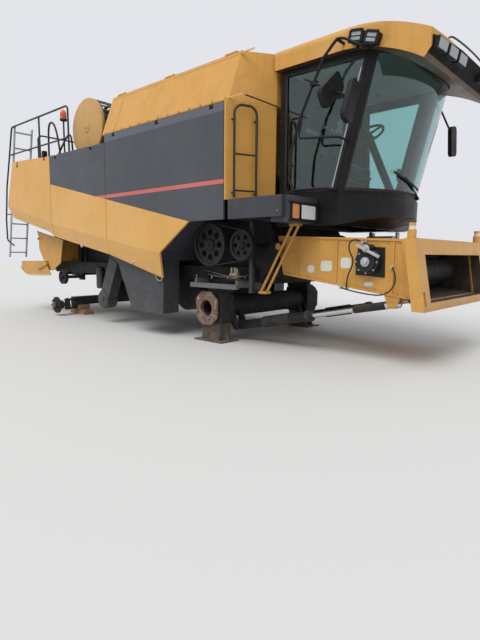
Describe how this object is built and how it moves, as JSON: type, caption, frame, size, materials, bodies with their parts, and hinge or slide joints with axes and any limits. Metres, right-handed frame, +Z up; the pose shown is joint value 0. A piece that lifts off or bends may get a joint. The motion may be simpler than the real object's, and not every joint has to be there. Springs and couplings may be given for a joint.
{
  "type": "combine harvester",
  "caption": "Yellow and dark grey combine harvester with cab, grain tank, folded unloading tube and feeder house, its drive wheels off, on axle stands and timber.",
  "frame": {"origin": "on the floor under the middle of the whole machine", "axes": "+X forward, +Y to the machine's left, +Z up"},
  "size_m": [8.34, 3.0006, 3.55],
  "materials": {
    "yellow_paint": "faded yellow paint, semi-gloss, dusty",
    "panel_paint": "dark grey over yellow paint with a thin red stripe",
    "dark_paint": "dusty dark grey paint",
    "rail_paint": "black paint",
    "axle_iron": "rusted iron",
    "stand_paint": "worn black paint",
    "timber": "rough sawn baulks",
    "ladder_steel": "galvanised steel",
    "rod_chrome": "bright piston rod",
    "window_glass": "tinted glass",
    "seat_cloth": "dark grey cloth",
    "black_plastic": "black plastic",
    "amber_plastic": "orange lens",
    "lamp_glass": "clear and amber lamp lenses"
  },
  "bodies": {
    "chassis": {"grain_tank": "yellow_paint", "cab_roof": "yellow_paint", "front_walls": "yellow_paint", "chopper": "yellow_paint", "deflector": "yellow_paint", "auger_base": "yellow_paint", "hood_frame": "yellow_paint", "threshing_body": "dark_paint", "cleaning_shoe": "dark_paint", "main_frame": "dark_paint", "cab_frame": "dark_paint", "cab_base": "dark_paint", "side_shelves": "dark_paint", "wheel_arches": "dark_paint", "screen_housing": "dark_paint", "elevators": "dark_paint", "right_drive": "dark_paint", "left_drive": "dark_paint", "rear_axle": "dark_paint", "engine": "dark_paint", "deck_rails": "rail_paint", "handrails": "rail_paint", "mirror_arms": "rail_paint", "front_axle": "axle_iron", "front_stands": "stand_paint", "rear_timbers": "timber", "rear_ladder": "ladder_steel", "strut_bars": "ladder_steel", "cab_glass": "window_glass", "seat": "seat_cloth", "steering_column": "black_plastic", "lamp_bar": "black_plastic", "beacon": "amber_plastic", "lamp_lenses": "lamp_glass"},
    "feeder": {"feeder_house": "yellow_paint", "feeder_chain": "ladder_steel", "header_frame": "yellow_paint", "feeder_gearbox": "dark_paint"},
    "lift_barrel_right": {"lift_barrel_right": "dark_paint"},
    "lift_barrel_left": {"lift_barrel_left": "dark_paint"},
    "lift_rod_right": {"lift_rod_right": "rod_chrome"},
    "lift_rod_left": {"lift_rod_left": "rod_chrome"},
    "cab_door": {"cab_door": "dark_paint", "door_glass": "window_glass"},
    "boarding_ladder": {"boarding_ladder": "dark_paint"},
    "unloading_auger": {"unloading_auger": "yellow_paint"},
    "tank_lid_right": {"tank_lid_right": "yellow_paint"},
    "tank_lid_left": {"tank_lid_left": "yellow_paint"},
    "rotary_screen": {"rotary_screen": "yellow_paint"},
    "knuckle_right": {"knuckle_right": "dark_paint"},
    "knuckle_left": {"knuckle_left": "dark_paint"},
    "hub_right": {"hub_right": "axle_iron"},
    "hub_left": {"hub_left": "axle_iron"},
    "side_panel_right_front": {"side_panel_right_front": "panel_paint"},
    "side_panel_right_middle": {"side_panel_right_middle": "panel_paint"},
    "side_panel_right_rear": {"side_panel_right_rear": "yellow_paint"},
    "side_panel_left_front": {"side_panel_left_front": "panel_paint"},
    "side_panel_left_middle": {"side_panel_left_middle": "panel_paint"},
    "side_panel_left_rear": {"side_panel_left_rear": "yellow_paint"}
  },
  "joints": [
    {"name": "feeder_lift", "type": "hinge", "parent": "chassis", "child": "feeder", "pos_m": [2.3, 0, 1.25], "axis": [0, -1, 0], "range_deg": [-15, 2]},
    {"name": "cab_door_swing", "type": "hinge", "parent": "chassis", "child": "cab_door", "pos_m": [2.435, 0.896, 2.5], "axis": [0, 0, 1], "range_deg": [0, 90]},
    {"name": "boarding_ladder_swing", "type": "hinge", "parent": "chassis", "child": "boarding_ladder", "pos_m": [2.31, 1.44, 1.2], "axis": [0, 0, 1], "range_deg": [0, 90]},
    {"name": "unloading_auger_swing", "type": "hinge", "parent": "chassis", "child": "unloading_auger", "pos_m": [1.53, 1.298, 3.2], "axis": [0, 0, -1], "range_deg": [0, 100]},
    {"name": "tank_lid_right_fold", "type": "hinge", "parent": "chassis", "child": "tank_lid_right", "pos_m": [1.35, -1.24, 3.4443], "axis": [1, 0, 0], "range_deg": [0, 110]},
    {"name": "tank_lid_left_fold", "type": "hinge", "parent": "chassis", "child": "tank_lid_left", "pos_m": [1.35, 0.986, 3.4443], "axis": [-1, 0, 0], "range_deg": [0, 110]},
    {"name": "rotary_screen_spin", "type": "hinge", "parent": "chassis", "child": "rotary_screen", "pos_m": [-1.22, -1.3, 3.11], "axis": [0, 1, 0], "continuous": true},
    {"name": "lift_barrel_right_swing", "type": "hinge", "parent": "chassis", "child": "lift_barrel_right", "pos_m": [1.57, -0.75, 0.2], "axis": [0, -1, 0], "range_deg": [-10, 2]},
    {"name": "lift_rod_right_slide", "type": "slide", "parent": "lift_barrel_right", "child": "lift_rod_right", "axis": [0.9792, 0, 0.2031], "range_m": [-0.28, 0.05]},
    {"name": "knuckle_right_steer", "type": "hinge", "parent": "chassis", "child": "knuckle_right", "pos_m": [-2.55, -1.04, 0.205], "axis": [0, 0, 1], "range_deg": [-38, 38]},
    {"name": "hub_right_spin", "type": "hinge", "parent": "knuckle_right", "child": "hub_right", "pos_m": [-2.55, -1.04, 0.205], "axis": [0, 0.9997, 0.0262], "continuous": true},
    {"name": "side_panel_right_front_lift", "type": "hinge", "parent": "chassis", "child": "side_panel_right_front", "pos_m": [1.35, -1.485, 2.826], "axis": [-1, 0, 0], "range_deg": [0, 70]},
    {"name": "side_panel_right_middle_lift", "type": "hinge", "parent": "chassis", "child": "side_panel_right_middle", "pos_m": [1.35, -1.485, 2.726], "axis": [-1, 0, 0], "range_deg": [0, 70]},
    {"name": "side_panel_right_rear_lift", "type": "hinge", "parent": "chassis", "child": "side_panel_right_rear", "pos_m": [1.35, -1.485, 2.746], "axis": [-1, 0, 0], "range_deg": [0, 70]},
    {"name": "lift_barrel_left_swing", "type": "hinge", "parent": "chassis", "child": "lift_barrel_left", "pos_m": [1.57, 0.75, 0.2], "axis": [0, -1, 0], "range_deg": [-10, 2]},
    {"name": "lift_rod_left_slide", "type": "slide", "parent": "lift_barrel_left", "child": "lift_rod_left", "axis": [0.9792, 0, 0.2031], "range_m": [-0.28, 0.05]},
    {"name": "knuckle_left_steer", "type": "hinge", "parent": "chassis", "child": "knuckle_left", "pos_m": [-2.55, 1.04, 0.205], "axis": [0, 0, 1], "range_deg": [-38, 38]},
    {"name": "hub_left_spin", "type": "hinge", "parent": "knuckle_left", "child": "hub_left", "pos_m": [-2.55, 1.04, 0.205], "axis": [0, 0.9997, -0.0262], "continuous": true},
    {"name": "side_panel_left_front_lift", "type": "hinge", "parent": "chassis", "child": "side_panel_left_front", "pos_m": [1.35, 1.485, 2.826], "axis": [1, 0, 0], "range_deg": [0, 70]},
    {"name": "side_panel_left_middle_lift", "type": "hinge", "parent": "chassis", "child": "side_panel_left_middle", "pos_m": [1.35, 1.485, 2.726], "axis": [1, 0, 0], "range_deg": [0, 70]},
    {"name": "side_panel_left_rear_lift", "type": "hinge", "parent": "chassis", "child": "side_panel_left_rear", "pos_m": [1.35, 1.485, 2.746], "axis": [1, 0, 0], "range_deg": [0, 70]}
  ],
  "couplings": [
    {"joint": "lift_barrel_right_swing", "follows": "feeder_lift", "ratio": 0.59},
    {"joint": "lift_rod_right_slide", "follows": "feeder_lift", "m_per_rad": 0.936},
    {"joint": "lift_barrel_left_swing", "follows": "feeder_lift", "ratio": 0.59},
    {"joint": "lift_rod_left_slide", "follows": "feeder_lift", "m_per_rad": 0.936},
    {"joint": "knuckle_left_steer", "follows": "knuckle_right_steer", "ratio": 1}
  ]
}
